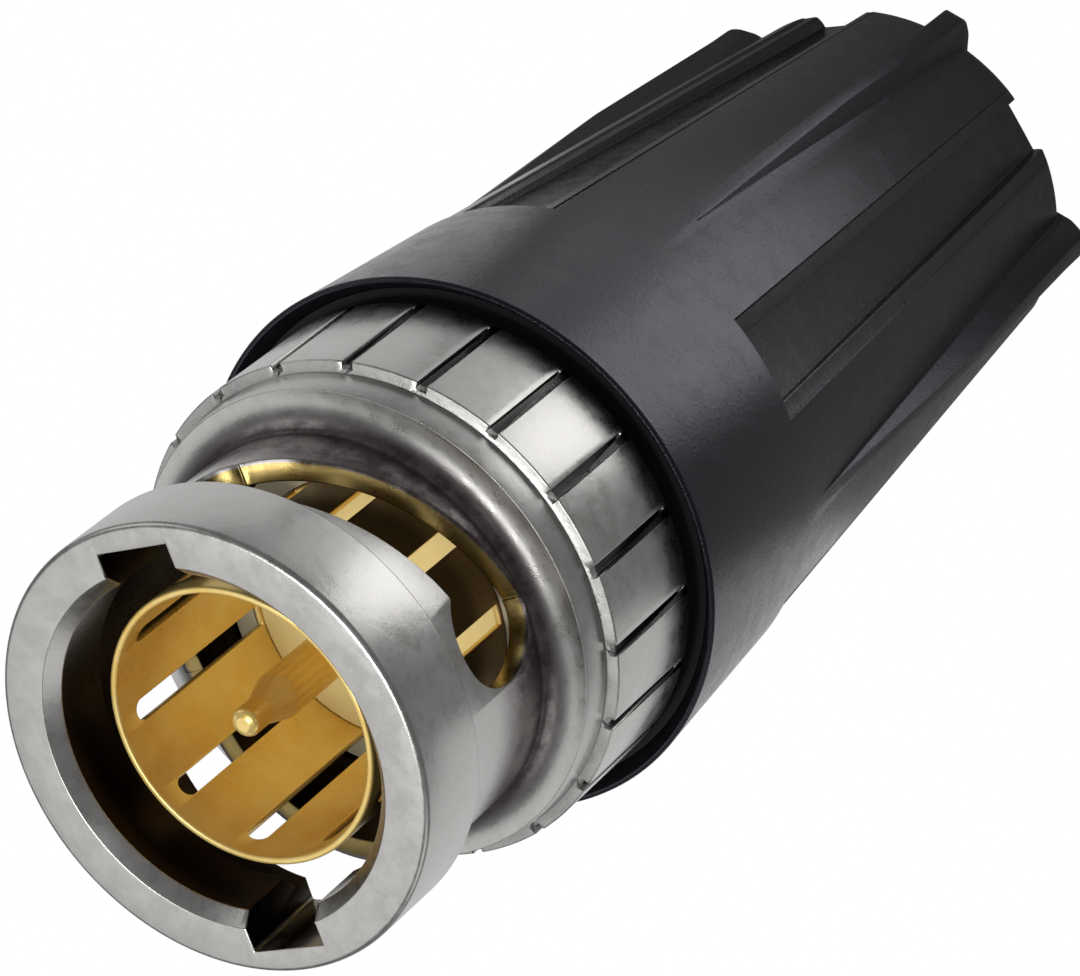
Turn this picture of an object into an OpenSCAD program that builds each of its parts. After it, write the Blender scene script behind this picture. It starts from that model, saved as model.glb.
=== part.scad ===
// BNC cable plug: bayonet sleeve, slotted contact and a ribbed rear-twist boot.
// The cable end stands on z = 0 and the mating face looks up +Z.

/* [Overall] */
// Length from the cable end to the mating face
total_l = 40.4; // [39:0.2:50]

/* [Coupling sleeve] */
// Room for the jack's shell, from the outer contact to the coupling bore
shell_gap = 0.85; // [0.8:0.01:0.95]
// Width of the chamfer at the bore's mouth
mouth_w = 0.35; // [0.15:0.05:0.6]
// Depth of that chamfer
mouth_l = 0.4; // [0.2:0.1:0.8]
// How far the bore widens behind the front ring, where the lugs' tracks run
track_relief = 0.38; // [0.2:0.02:0.5]
// Front ring's wall, from the bore
ring_wall = 1.6; // [1.5:0.05:2.1]
// Front ring's length
ring_l = 2.7; // [2.5:0.1:3]
// Neck's wall, from the bore
neck_wall = 1.05; // [1:0.05:1.2]
// Neck's length, down to the cove
neck_l = 4.25; // [4.1:0.05:5]
// Height of the cove between the neck and the lip
cove_l = 0.55; // [0.4:0.05:1]
// How far the lip stands out from the neck
lip_step = 1.05; // [0.85:0.05:1.15]
// Smooth band between the lip and the grip
band_l = 0.95; // [0.7:0.05:1.6]
// How far the grip ring stands out from the lip
grip_step = 0.45; // [0.35:0.05:0.6]
// Grip ring's length
grip_l = 4; // [3.4:0.1:5]
// Number of grip grooves
groove_count = 20; // [12:2:28]
// Width of one grip groove
groove_w = 0.3; // [0.2:0.05:0.5]
// Depth of one grip groove
groove_depth = 0.2; // [0.1:0.05:0.3]
// Plain rim left behind the grooves
groove_rim = 0.25; // [0.1:0.05:0.6]
// Step from the bore out to the inside of the skirt
skirt_step = 0.5; // [0.4:0.05:0.6]
// Length of the skirt behind the inner shoulder
skirt_l = 3.3; // [2.8:0.1:4]
// Wall of the skirt
skirt_wall = 1.2; // [1:0.1:1.4]

/* [Bayonet cam] */
// Diameter of the mating jack's lug
lug_d = 2.06; // [1.9:0.02:2.2]
// Clearance of the lug in its slot, on diameter
lug_clearance = 0.24; // [0.1:0.02:0.3]
// Depth of the two entry notches, from the bore
notch_depth = 0.9; // [0.7:0.05:0.95]
// Depth of the slot's centre at the entry, below the mating face
cam_depth = 3.9; // [3.7:0.1:4.1]
// Turn from the entry to the detent, in degrees
cam_turn = 87; // [75:1:95]
// How far the slot sinks over that turn
cam_drop = 1.95; // [1.6:0.05:2.1]
// Detent hole's diameter
detent_d = 3.2; // [2.8:0.1:3.2]
// How far the detent steps back towards the face
detent_rise = 0.5; // [0.3:0.05:0.8]

/* [Contacts] */
// Outer contact's diameter
contact_d = 8.1; // [8:0.02:8.16]
// Wall of its fingers
contact_wall = 0.2; // [0.18:0.02:0.3]
// Its rim's depth below the mating face
contact_recess = 1.4; // [1:0.1:2]
// Number of slots between its fingers
slot_count = 10; // [6:2:12]
// Width of one slot
slot_w = 0.6; // [0.4:0.05:0.8]
// Solid rim in front of the slots
rim_l = 0.75; // [0.5:0.05:1.2]
// Depth of the front insulator's face below the mating face
insulator_depth = 8.4; // [8.2:0.05:8.5]
// Turn of the contact against the sleeve, in degrees
contact_clock = 11; // [0:1:35]
// Centre pin's diameter
pin_d = 1.35; // [1.3:0.01:1.4]
// Depth of the pin's tip below the mating face
pin_recess = 1.55; // [1.2:0.05:2]
// Diameter of the pin's waist inside the insulator
pin_waist_d = 1; // [0.9:0.02:1.04]
// Diameter of the pin's crimp pot
pot_d = 2; // [1.8:0.05:2.2]
// Length of the crimp pot, from the middle of the pin's collar
pot_l = 6; // [5.4:0.2:6.6]
// Bore of the crimp pot, for the cable's core
pot_bore_d = 1.1; // [0.8:0.05:1.3]

/* [Body and coupling spring] */
// Thickness of the body's flange
flange_t = 1.6; // [1.4:0.1:2]
// Depth of the middle of the pin's collar behind the flange
collar_depth = 3; // [2.6:0.1:3.4]
// Depth of the contact's seat in the flange
seat_l = 1; // [0.7:0.1:1.1]
// How far the body's barrel lies in from the outer contact's diameter
barrel_step = 0.2; // [0.15:0.05:0.3]
// Wall of the barrel round the front insulator
barrel_wall = 0.49; // [0.45:0.02:0.6]
// Length of the body behind its retaining ring
body_tail_l = 4.4; // [4:0.2:5]
// Thickness of the face gasket
gasket_t = 0.4; // [0.3:0.05:0.5]
// Thickness of one thrust washer
washer_t = 0.3; // [0.2:0.05:0.4]
// Length of the wave spring when coupled loosely
spring_l = 1.8; // [1.6:0.1:2.4]
// Number of waved rings in the spring
wave_rings = 3; // [2:1:4]
// Thickness of the spring's strip
strip_t = 0.2; // [0.15:0.05:0.25]
// Thickness of the sleeve's inner shoulder
shoulder_t = 1.1; // [0.8:0.1:1.5]
// Thickness of the retaining ring
snap_t = 0.6; // [0.5:0.05:0.8]
// Depth of the retaining ring's groove
snap_groove = 0.4; // [0.3:0.05:0.45]

/* [Cable crimp] */
// Diameter of the crimp stem's neck, under the braid
stem_d = 5.5; // [5.3:0.1:5.7]
// Bore of the crimp stem, for the cable's insulation
stem_bore_d = 3.5; // [3.2:0.1:3.8]
// Gap from the cable grommet to the ferrule, for the cable's jacket
jacket_gap = 2.36; // [1.6:0.04:3]
// How far the stem's end stands in from the ferrule's
stem_inset = 3.2; // [2.4:0.2:4]
// Inner diameter of the crimp ferrule
ferrule_in_d = 6.5; // [6.4:0.05:6.6]
// Wall of the crimp ferrule
ferrule_wall = 0.4; // [0.3:0.05:0.5]

/* [Boot] */
// Width of the seal's room, from the skirt to the boot's mouth
seal_w = 1.05; // [0.95:0.05:1.2]
// Wall of the boot's front lip
boot_lip_wall = 0.47; // [0.4:0.01:0.8]
// How far the smooth collar narrows towards its back, on radius
collar_taper = 0.44; // [0.3:0.02:0.6]
// Length of the smooth collar
collar_l = 6.55; // [6:0.1:8]
// Diameter at the cable end
tail_d = 12.3; // [12:0.1:13]
// Gap between the grip ring and the boot
boot_gap = 0.15; // [0.1:0.05:0.4]
// Number of ribs, with a sunk panel between each two
rib_count = 5; // [4:1:6]
// How far the ribs' front lies under the collar's back edge
rib_dip = 0.12; // [0.06:0.02:0.2]
// How far the ribs stand out of the cable end
rib_rise = 0.95; // [0.7:0.05:1.1]
// Turn of the first rib from the entry notch, in degrees
boot_clock = 29.7; // [0:0.1:71]
// Half the angle across the flat between two ribs, in degrees
flat_half = 12; // [10.5:0.5:14]
// Half the angle across the panel sunk into that flat, in degrees
panel_half = 8.5; // [5:0.5:10]
// Depth of the panel below the flat, at the collar
panel_front_depth = 0.1; // [0.06:0.02:0.2]
// Depth of the panel below the flat, at the cable end
panel_depth = 0.36; // [0.2:0.02:0.44]
// Diameter of the cable that the grommet takes
cable_d = 6.2; // [5.6:0.1:6.4]
// Diameter of the hole in the boot's end wall
boot_hole_d = 7.2; // [7:0.1:7.6]
// Thickness of the boot's end wall
end_wall = 1.2; // [1:0.1:1.6]
// Outer diameter of the cable grommet
grommet_d = 8.8; // [8.4:0.1:9]
// Length of the cable grommet
grommet_l = 6.2; // [4.6:0.2:6.4]
// Outer diameter of the guide bush
bush_d = 10; // [9.6:0.1:10.2]
// Length of the guide bush
bush_l = 4; // [3:0.2:4.4]
// How far the guide bush stands in from the ferrule's end
bush_inset = 1.2; // [0.8:0.1:1.6]

/* [Clearances] */
// Radial clearance between pieces that turn or slide
run_gap = 0.08; // [0.05:0.01:0.1]
// Radial clearance between pieces that are seated
seat_gap = 0.02; // [0.01:0.01:0.04]
// Axial gap at a face that turns
turn_gap = 0.02; // [0.01:0.01:0.04]
// Travel of the sleeve against its spring
travel = 0.8; // [0.5:0.1:0.8]

/* [Hidden] */
$fn = 96;
cut = 0.5;
arc_steps = 6;

// heights along the sleeve, from the mating face down
ring_rear = total_l - ring_l;
neck_rear = ring_rear - neck_l;
lip_top = neck_rear - cove_l;
grip_top = lip_top - band_l;
grip_rear = grip_top - grip_l;

// heights of the core, from the mating face down
rim_top = total_l - contact_recess;
slot_top = rim_top - rim_l;
insulator_top = total_l - insulator_depth;
flange_top = insulator_top - gasket_t;
flange_rear = flange_top - flange_t;
contact_rear = flange_top - seat_l;
collar_mid = flange_rear - collar_depth;

// radii outwards from the outer contact
contact_r = contact_d/2;
contact_in_r = contact_r - contact_wall;
barrel_r = contact_r - barrel_step;
body_bore_r = barrel_r - barrel_wall;
body_rear_bore_r = body_bore_r - 0.34;
bore_r = contact_r + shell_gap;
flange_r = bore_r - run_gap;
mouth_r = bore_r + mouth_w;
notch_r = bore_r + notch_depth;
ring_r = bore_r + ring_wall;
neck_r = bore_r + neck_wall;
lip_r = neck_r + lip_step;
band_r = lip_r + 0.12;
grip_r = lip_r + grip_step;
ring_edge = 0.15;
small_edge = 0.1;
band_groove = 0.1;

// the spring stack between the flange and the sleeve's shoulder
front_washer_rear = flange_rear - turn_gap - washer_t;
spring_rear = front_washer_rear - spring_l;
shoulder_top = spring_rear - washer_t;
shoulder_rear = shoulder_top - shoulder_t;
shoulder_r = barrel_r + run_gap;
washer_in_r = barrel_r + run_gap;
washer_out_r = bore_r - run_gap;
snap_top = shoulder_rear - turn_gap;
snap_rear = snap_top - snap_t;
snap_in_r = barrel_r - snap_groove + seat_gap;
snap_out_r = shoulder_r + 0.77;
snap_mouth = 40;

// the wider bore under the tracks, chamfered into the bore at both ends
relief_r = bore_r + track_relief;
relief_top = ring_rear + 0.2;
relief_rear = lip_top;

// the skirt and what grips it
skirt_in_r = bore_r + skirt_step;
skirt_r = skirt_in_r + skirt_wall;
skirt_rear = shoulder_rear - skirt_l;
lock_t = 0.7;
lock_depth = 0.38;
lock_inset = 1.2;
lock_mouth = 24;
lock_rear = skirt_rear + lock_inset;
lock_top = lock_rear + lock_t;
boot_skirt_r = skirt_r + seat_gap;
seal_t = 0.6;
seal_inset = 0.65;
seal_front = grip_rear - seal_inset;

// the cable's end of the boot
grommet_r = grommet_d/2;
grommet_top = end_wall + grommet_l;
entry_r = cable_d/2;

// the cable crimp, between the body and the grommet
stem_flange_t = 1.2;
stem_spigot_l = 2.7;
stem_collar_l = 1.5;
stem_flange_r = barrel_r;
stem_collar_r = ferrule_in_d/2 - seat_gap;
body_rear = snap_rear - body_tail_l;
stem_flange_rear = body_rear - stem_flange_t;
stem_neck_top = stem_flange_rear - stem_collar_l;
ferrule_top = stem_flange_rear - 0.3;
ferrule_rear = grommet_top + jacket_gap;
ferrule_out_r = ferrule_in_d/2 + ferrule_wall;
stem_rear = ferrule_rear + stem_inset;

// the insulators and the pin
insulator_head_r = contact_in_r - seat_gap;
front_insulator_r = body_bore_r - seat_gap;
rear_insulator_r = body_rear_bore_r - seat_gap;
pin_r = pin_d/2;
pin_waist_r = pin_waist_d/2;
pin_top = total_l - pin_recess;
pin_tip_r = pin_r*0.62;
pin_taper_l = 1.15;
pin_straight_rear = insulator_top + 0.2;
pin_collar_r = 1.25;
pin_collar_half = 0.4;
pot_rear = collar_mid - pot_l;
pot_depth = pot_l*0.6;
insulator_rear = collar_mid - stem_spigot_l;

// the boot
boot_front = grip_rear - boot_gap;
collar_back = boot_front - collar_l;
collar_step = 0.06;
flat_sink = 0.03;
lip_edge = 0.15;
tail_edge = 0.35;
boot_mouth_r = skirt_r + seal_w;
boot_front_r = boot_mouth_r + boot_lip_wall;
collar_back_r = boot_front_r - collar_taper;
tail_front_r = collar_back_r - collar_step;
tail_r = tail_d/2;
cavity_r = skirt_in_r + 0.2;
bush_rear = ferrule_rear + bush_inset;
bush_top = bush_rear + bush_l;
bush_r = bush_d/2;
bush_in_r = ferrule_out_r + run_gap;
bush_ledge_r = bush_r - 0.32;

function arc(centre, rx, ry, from, to) =
    [for (i = [0:arc_steps]) let (a = from + (to - from)*i/arc_steps)
        [centre[0] + rx*cos(a), centre[1] + ry*sin(a)]];

// a plain ring of square section
module tube(inner, outer, low, high) {
    rotate_extrude() translate([inner, low]) square([outer - inner, high - low]);
}

// a split ring with its mouth on the +X side
module split_ring(inner, outer, low, high, mouth) {
    rotate([0, 0, mouth/2]) rotate_extrude(angle = 360 - mouth)
        translate([inner, low]) square([outer - inner, high - low]);
}

// half section of the coupling sleeve, before its cam slots and grip grooves
module sleeve_section() {
    polygon(concat(
        [[bore_r, total_l - mouth_l], [mouth_r, total_l]],
        arc([ring_r - ring_edge, total_l - ring_edge], ring_edge, ring_edge, 90, 0),
        [[ring_r, ring_rear + small_edge], [ring_r - small_edge, ring_rear],
         [neck_r, ring_rear]],
        arc([lip_r - small_edge, neck_rear], neck_r - lip_r + small_edge, -cove_l, 0, 90),
        [[lip_r, lip_top - small_edge], [band_r, grip_top + band_groove],
         [band_r - band_groove, grip_top], [grip_r - 2*small_edge, grip_top],
         [grip_r, grip_top - 2*small_edge], [grip_r, grip_rear + small_edge],
         [grip_r - small_edge, grip_rear], [skirt_r, grip_rear],
         [skirt_r, lock_top + seat_gap], [skirt_r - lock_depth, lock_top + seat_gap],
         [skirt_r - lock_depth, lock_rear - seat_gap], [skirt_r, lock_rear - seat_gap],
         [skirt_r, skirt_rear + 2*small_edge], [skirt_r - 2*small_edge, skirt_rear],
         [skirt_in_r, skirt_rear], [skirt_in_r, shoulder_rear],
         [shoulder_r, shoulder_rear], [shoulder_r, shoulder_top],
         [bore_r, shoulder_top], [bore_r, relief_rear - track_relief],
         [relief_r, relief_rear], [relief_r, relief_top],
         [bore_r, relief_top + track_relief]]));
}

// one bayonet track: entry notch, sinking slot and detent, cut outwards from the bore
module bayonet_track() {
    slot_d = lug_d + lug_clearance;
    start_z = total_l - cam_depth;
    end_z = start_z - cam_drop;
    steps = 9;
    step_turn = cam_turn/steps;
    step_l = 2*neck_r*tan(step_turn/2);
    step_drop = cam_drop/steps;
    slope = atan(step_drop/step_l);
    intersection() {
        translate([bore_r - cut, -slot_d/2, start_z])
            cube([notch_depth + cut, slot_d, cam_depth + cut]);
        cylinder(r = notch_r, h = total_l + 2*cut);
    }
    translate([bore_r - cut, 0, start_z]) rotate([0, 90, 0]) cylinder(d = slot_d, h = ring_r);
    for (i = [0:steps - 1])
        rotate([0, 0, -(i + 0.5)*step_turn])
            translate([bore_r - cut + ring_r/2, 0, start_z - (i + 0.5)*step_drop])
                rotate([slope, 0, 0])
                    cube([ring_r, step_l*1.04, slot_d], center = true);
    rotate([0, 0, -cam_turn]) translate([bore_r - cut, 0, end_z + detent_rise])
        rotate([0, 90, 0]) cylinder(d = detent_d, h = ring_r);
}

module grip_groove() {
    low = grip_rear + groove_rim;
    translate([grip_r - groove_depth, -groove_w/2, low])
        cube([grip_r, groove_w, grip_top - low + cut]);
}

module bayonet_sleeve() {
    color([0.68, 0.68, 0.67]) difference() {
        rotate_extrude() sleeve_section();
        for (turn = [0, 180]) rotate([0, 0, turn]) bayonet_track();
        for (i = [0:groove_count - 1]) rotate([0, 0, i*360/groove_count + 2]) grip_groove();
    }
}

module seal_ring() {
    color([0.03, 0.03, 0.03])
        tube(skirt_r + seat_gap, boot_mouth_r - seat_gap, seal_front - seal_t, seal_front);
}

module lock_ring() {
    color([0.6, 0.6, 0.62])
        split_ring(skirt_r - lock_depth + seat_gap, skirt_r + lock_depth - seat_gap,
            lock_rear, lock_top, lock_mouth);
}

// outer half section of the boot, without its ribs
module boot_outside() {
    polygon(concat(
        [[0, boot_front], [boot_front_r - lip_edge, boot_front],
         [boot_front_r, boot_front - lip_edge], [collar_back_r, collar_back + collar_step],
         [tail_front_r, collar_back], [tail_r, tail_edge]],
        arc([tail_r - tail_edge, tail_edge], tail_edge, tail_edge, 0, -90),
        [[0, 0]]));
}

// hollow of the boot: seal seat, skirt seat, cavity, bush seat, grommet seat, cable hole
module boot_inside() {
    polygon([[0, boot_front + cut], [boot_mouth_r, boot_front + cut],
        [boot_mouth_r, seal_front - seal_t - seat_gap],
        [boot_skirt_r, seal_front - seal_t - seat_gap],
        [boot_skirt_r, lock_top + seat_gap], [skirt_r + lock_depth, lock_top + seat_gap],
        [skirt_r + lock_depth, lock_rear - seat_gap], [boot_skirt_r, lock_rear - seat_gap],
        [boot_skirt_r, skirt_rear - seat_gap], [cavity_r, skirt_rear - seat_gap],
        [cavity_r, bush_top + cut], [bush_r + seat_gap, bush_top],
        [bush_r + seat_gap, bush_rear - seat_gap], [bush_ledge_r, bush_rear - seat_gap],
        [bush_ledge_r, grommet_top + seat_gap + cut], [grommet_r + seat_gap, grommet_top + seat_gap],
        [grommet_r + seat_gap, end_wall], [boot_hole_d/2, end_wall],
        [boot_hole_d/2, -cut], [0, -cut]]);
}

// one rib: a wedge section held under a profile that rounds down at the cable end
module boot_rib() {
    crest_r = tail_front_r - rib_dip;
    crest_tail_r = tail_r + rib_rise;
    foot_r = tail_r - 1;
    foot_half = 0.95;
    crest_half = 0.12;
    intersection() {
        linear_extrude(height = collar_back)
            polygon([[foot_r, -foot_half], [crest_r + small_edge, -crest_half],
                [crest_r + small_edge, crest_half], [foot_r, foot_half]]);
        rotate_extrude() polygon([[foot_r, 0.1], [tail_r + 0.25, 0.1],
            [crest_tail_r - 0.35, 0.35], [crest_tail_r - 0.1, 0.9], [crest_tail_r, 1.8],
            [crest_r - 0.06, 0.45*collar_back], [crest_r, 0.65*collar_back],
            [crest_r, collar_back], [foot_r, collar_back]]);
    }
}

// cutter that takes one flat off the tail, or sinks a panel into that flat
module flat_cut(half, front_depth, back_depth) {
    front_r = tail_front_r*cos(flat_half) - front_depth;
    back_r = tail_r*cos(flat_half) - back_depth;
    tilt = atan((front_r - back_r)/collar_back);
    reach = boot_front_r + cut;
    intersection() {
        translate([0, 0, -cut]) linear_extrude(height = collar_back + cut)
            polygon([[0, 0], [reach, -reach*tan(half)], [reach, reach*tan(half)]]);
        translate([back_r, -reach/2, 0]) rotate([0, tilt, 0])
            translate([0, 0, -reach]) cube([reach, reach, total_l]);
    }
}

module boot() {
    pitch = 360/rib_count;
    color([0.16, 0.16, 0.18]) difference() {
        union() {
            rotate_extrude() boot_outside();
            for (i = [0:rib_count - 1]) rotate([0, 0, boot_clock + i*pitch]) boot_rib();
        }
        rotate_extrude() boot_inside();
        for (i = [0:rib_count - 1]) rotate([0, 0, boot_clock + (i + 0.5)*pitch]) {
            flat_cut(flat_half, flat_sink, 2*flat_sink);
            flat_cut(panel_half, panel_front_depth, panel_depth);
        }
    }
}

module guide_bush() {
    color([0.85, 0.84, 0.8]) tube(bush_in_r, bush_r, bush_rear, bush_top);
}

module cable_grommet() {
    flare = 0.6;
    color([0.06, 0.06, 0.06]) difference() {
        tube(entry_r, grommet_r, end_wall, grommet_top);
        translate([0, 0, grommet_top - flare])
            cylinder(r1 = entry_r, r2 = entry_r + flare + small_edge, h = flare + small_edge);
    }
}

module rear_thrust_washer() {
    color([0.75, 0.75, 0.76]) tube(washer_in_r, washer_out_r, shoulder_top, spring_rear);
}

// one closed ring of strip that waves up and down three times
module waved_ring(mid_z, swing, phase) {
    steps = 48;
    inner = washer_in_r + run_gap;
    outer = washer_out_r - run_gap;
    points = [for (i = [0:steps - 1])
        let (a = i*360/steps, z = mid_z + swing*cos(3*a + phase))
        each [[inner*cos(a), inner*sin(a), z - strip_t/2], [outer*cos(a), outer*sin(a), z - strip_t/2],
              [outer*cos(a), outer*sin(a), z + strip_t/2], [inner*cos(a), inner*sin(a), z + strip_t/2]]];
    faces = [for (i = [0:steps - 1], k = [0:3])
        let (a = 4*i, b = 4*((i + 1)%steps), m = (k + 1)%4)
        each [[a + k, b + k, b + m], [a + k, b + m, a + m]]];
    polyhedron(points, faces);
}

module wave_spring() {
    nest = 0.02;
    swing = (spring_l - wave_rings*strip_t + (wave_rings - 1)*nest)/(2*wave_rings);
    pitch = 2*swing + strip_t - nest;
    color([0.7, 0.7, 0.72]) union() {
        for (i = [0:wave_rings - 1])
            waved_ring(spring_rear + swing + strip_t/2 + i*pitch, swing, 180*i);
    }
}

module front_thrust_washer() {
    color([0.75, 0.75, 0.76])
        tube(washer_in_r, washer_out_r, front_washer_rear, front_washer_rear + washer_t);
}

module contact_body() {
    snap_r = barrel_r - snap_groove;
    color([0.8, 0.74, 0.5]) rotate_extrude() polygon([
        [contact_r + seat_gap, flange_top], [flange_r, flange_top],
        [flange_r, flange_rear], [barrel_r, flange_rear],
        [barrel_r, snap_top + seat_gap], [snap_r, snap_top + seat_gap],
        [snap_r, snap_rear - seat_gap], [barrel_r, snap_rear - seat_gap],
        [barrel_r, body_rear], [body_rear_bore_r, body_rear],
        [body_rear_bore_r, collar_mid], [body_bore_r, collar_mid],
        [body_bore_r, contact_rear], [contact_r + seat_gap, contact_rear]]);
}

// slotted contact: solid rim in front, thin sprung fingers, solid seat behind
module outer_contact() {
    rim_edge = 0.3*contact_wall;
    color([0.83, 0.66, 0.28]) difference() {
        rotate_extrude() polygon([
            [contact_in_r, contact_rear], [contact_r, contact_rear],
            [contact_r, rim_top - rim_edge], [contact_r - rim_edge, rim_top],
            [contact_in_r + rim_edge, rim_top], [contact_in_r, rim_top - rim_edge]]);
        for (i = [0:slot_count - 1]) rotate([0, 0, contact_clock + i*360/slot_count]) {
            translate([contact_in_r - cut, -slot_w/2, insulator_top + 0.1])
                cube([contact_r, slot_w, slot_top - slot_w/2 - insulator_top - 0.1]);
            translate([contact_in_r - cut, 0, slot_top - slot_w/2]) rotate([0, 90, 0])
                cylinder(d = slot_w, h = contact_r);
        }
    }
}

module face_gasket() {
    color([0.78, 0.72, 0.55])
        tube(contact_r + seat_gap, flange_r - seat_gap, flange_top, flange_top + gasket_t);
}

// front insulator: a head inside the contact and a narrower barrel inside the body
module front_insulator() {
    color([0.93, 0.9, 0.78]) difference() {
        union() {
            tube(pin_r + seat_gap, insulator_head_r, contact_rear + seat_gap, insulator_top);
            tube(pin_r + seat_gap, front_insulator_r, collar_mid, insulator_top - cut);
        }
        translate([0, 0, collar_mid - cut]) cylinder(r = pin_collar_r + seat_gap,
            h = pin_collar_half + cut + seat_gap);
    }
}

module rear_insulator() {
    color([0.93, 0.9, 0.78]) difference() {
        tube(pot_d/2 + seat_gap, rear_insulator_r, insulator_rear, collar_mid);
        translate([0, 0, collar_mid - pin_collar_half - seat_gap])
            cylinder(r = pin_collar_r + seat_gap, h = pin_collar_half + cut);
    }
}

// centre contact: rounded tip, mating length, waist in the insulator, collar and crimp pot
module centre_pin() {
    pot_r = pot_d/2;
    color([0.85, 0.68, 0.3]) difference() {
        rotate_extrude() polygon(concat(
            [[0, pot_rear], [pot_r, pot_rear], [pot_r, collar_mid - pin_collar_half],
             [pin_collar_r, collar_mid - pin_collar_half],
             [pin_collar_r, collar_mid + pin_collar_half],
             [pin_waist_r, collar_mid + pin_collar_half],
             [pin_waist_r, pin_straight_rear - 0.2], [pin_r, pin_straight_rear],
             [pin_r, pin_top - pin_taper_l]],
            arc([0, pin_top - pin_tip_r], pin_tip_r, pin_tip_r, 20, 90)));
        translate([0, 0, pot_rear - cut]) cylinder(d = pot_bore_d, h = pot_depth + cut);
        translate([0, 0, pot_rear + pot_depth*0.8]) rotate([0, 90, 0]) cylinder(d = 0.5, h = pot_d);
    }
}

module retaining_ring() {
    color([0.72, 0.72, 0.74]) split_ring(snap_in_r, snap_out_r, snap_rear, snap_top, snap_mouth);
}

// stem that closes the body behind: spigot, flange with flats, collar and ringed neck
module crimp_stem() {
    spigot_r = rear_insulator_r;
    stem_r = stem_d/2;
    barb_r = stem_r + 0.15;
    flats = stem_flange_r*1.84;
    spigot_top = insulator_rear - seat_gap;
    color([0.76, 0.74, 0.68]) difference() {
        union() {
            tube(stem_bore_d/2, spigot_r, body_rear, spigot_top);
            intersection() {
                tube(stem_bore_d/2, stem_flange_r, stem_flange_rear, body_rear);
                translate([-flats/2, -flats, stem_flange_rear]) cube([flats, 2*flats, stem_flange_t]);
            }
            tube(stem_bore_d/2, stem_collar_r, stem_neck_top, stem_flange_rear);
            tube(stem_bore_d/2, stem_r, stem_rear, stem_neck_top);
            for (z = [stem_rear + 1:0.8:stem_neck_top - 1]) tube(stem_bore_d/2, barb_r, z, z + 0.4);
        }
        translate([0, 0, stem_rear - small_edge])
            cylinder(r1 = stem_bore_d/2 + 0.4, r2 = stem_bore_d/2 - small_edge, h = 0.5);
    }
}

module crimp_ferrule() {
    color([0.8, 0.79, 0.76])
        tube(ferrule_in_d/2, ferrule_out_r, ferrule_rear, ferrule_top);
}

bayonet_sleeve();
seal_ring();
lock_ring();
boot();
guide_bush();
cable_grommet();
rear_thrust_washer();
wave_spring();
front_thrust_washer();
contact_body();
outer_contact();
face_gasket();
front_insulator();
rear_insulator();
centre_pin();
retaining_ring();
crimp_stem();
crimp_ferrule();
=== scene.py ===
import math

import bmesh
import bpy
from mathutils import Matrix, Vector


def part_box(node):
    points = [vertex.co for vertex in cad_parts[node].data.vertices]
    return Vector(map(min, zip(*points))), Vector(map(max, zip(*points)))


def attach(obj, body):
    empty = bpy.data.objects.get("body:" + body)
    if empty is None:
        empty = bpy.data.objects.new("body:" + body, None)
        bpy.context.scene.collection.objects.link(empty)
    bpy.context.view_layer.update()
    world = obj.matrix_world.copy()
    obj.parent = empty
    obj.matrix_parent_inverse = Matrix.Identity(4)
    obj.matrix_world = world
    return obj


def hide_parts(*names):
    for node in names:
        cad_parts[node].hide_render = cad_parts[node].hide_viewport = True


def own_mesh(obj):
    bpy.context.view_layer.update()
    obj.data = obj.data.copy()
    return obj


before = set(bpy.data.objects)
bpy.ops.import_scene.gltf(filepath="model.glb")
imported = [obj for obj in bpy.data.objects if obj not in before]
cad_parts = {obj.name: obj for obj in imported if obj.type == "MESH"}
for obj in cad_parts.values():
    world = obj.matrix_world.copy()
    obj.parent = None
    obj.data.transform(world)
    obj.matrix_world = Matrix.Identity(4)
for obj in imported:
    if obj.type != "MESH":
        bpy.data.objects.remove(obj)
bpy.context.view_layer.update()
scene = bpy.context.scene
mm = 0.001
samePoint = 1e-8  # points closer than this, in metres, are one point
crease = math.radians(32)  # edges sharper than this stay sharp in the shading


def boxTop(node):
    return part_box(node)[1].z / mm


def boxFoot(node):
    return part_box(node)[0].z / mm


def boxRadius(node):
    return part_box(node)[1].x / mm


# heights that the pieces are counted from, in mm
faceZ = boxTop("bayonet_sleeve")
bootTop = boxTop("boot")


# the mesh helpers take sizes in mm and make metres of them
def newObject(name, bm):
    mesh = bpy.data.meshes.new(name)
    bm.to_mesh(mesh)
    bm.free()
    piece = bpy.data.objects.new(name, mesh)
    scene.collection.objects.link(piece)
    return piece


def rounded(points, radius, own=None, steps=4):
    # every corner of a closed outline becomes an arc; own gives some corners a radius of their own
    own = own or {}
    nearlyStraight = math.radians(172)
    mostOfSide = 0.48  # two arcs never meet on one side
    out = []
    for i, corner in enumerate(points):
        here = Vector(corner)
        before = Vector(points[i - 1]) - here
        after = Vector(points[(i + 1) % len(points)]) - here
        wanted = own.get(i, radius)
        between = before.angle(after)
        if wanted <= 0 or between > nearlyStraight:
            out.append(corner)
            continue
        reach = min(wanted / math.tan(between / 2), mostOfSide * before.length, mostOfSide * after.length)
        arcRadius = reach * math.tan(between / 2)
        inward = (before.normalized() + after.normalized()).normalized()
        middle = here + inward * (arcRadius / math.sin(between / 2))
        first = here + before.normalized() * reach - middle
        last = here + after.normalized() * reach - middle
        sweep = math.atan2(first.x * last.y - first.y * last.x, first.dot(last))
        for k in range(steps + 1):
            a = sweep * k / steps
            out.append((middle.x + first.x * math.cos(a) - first.y * math.sin(a),
                        middle.y + first.x * math.sin(a) + first.y * math.cos(a)))
    return out


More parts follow.
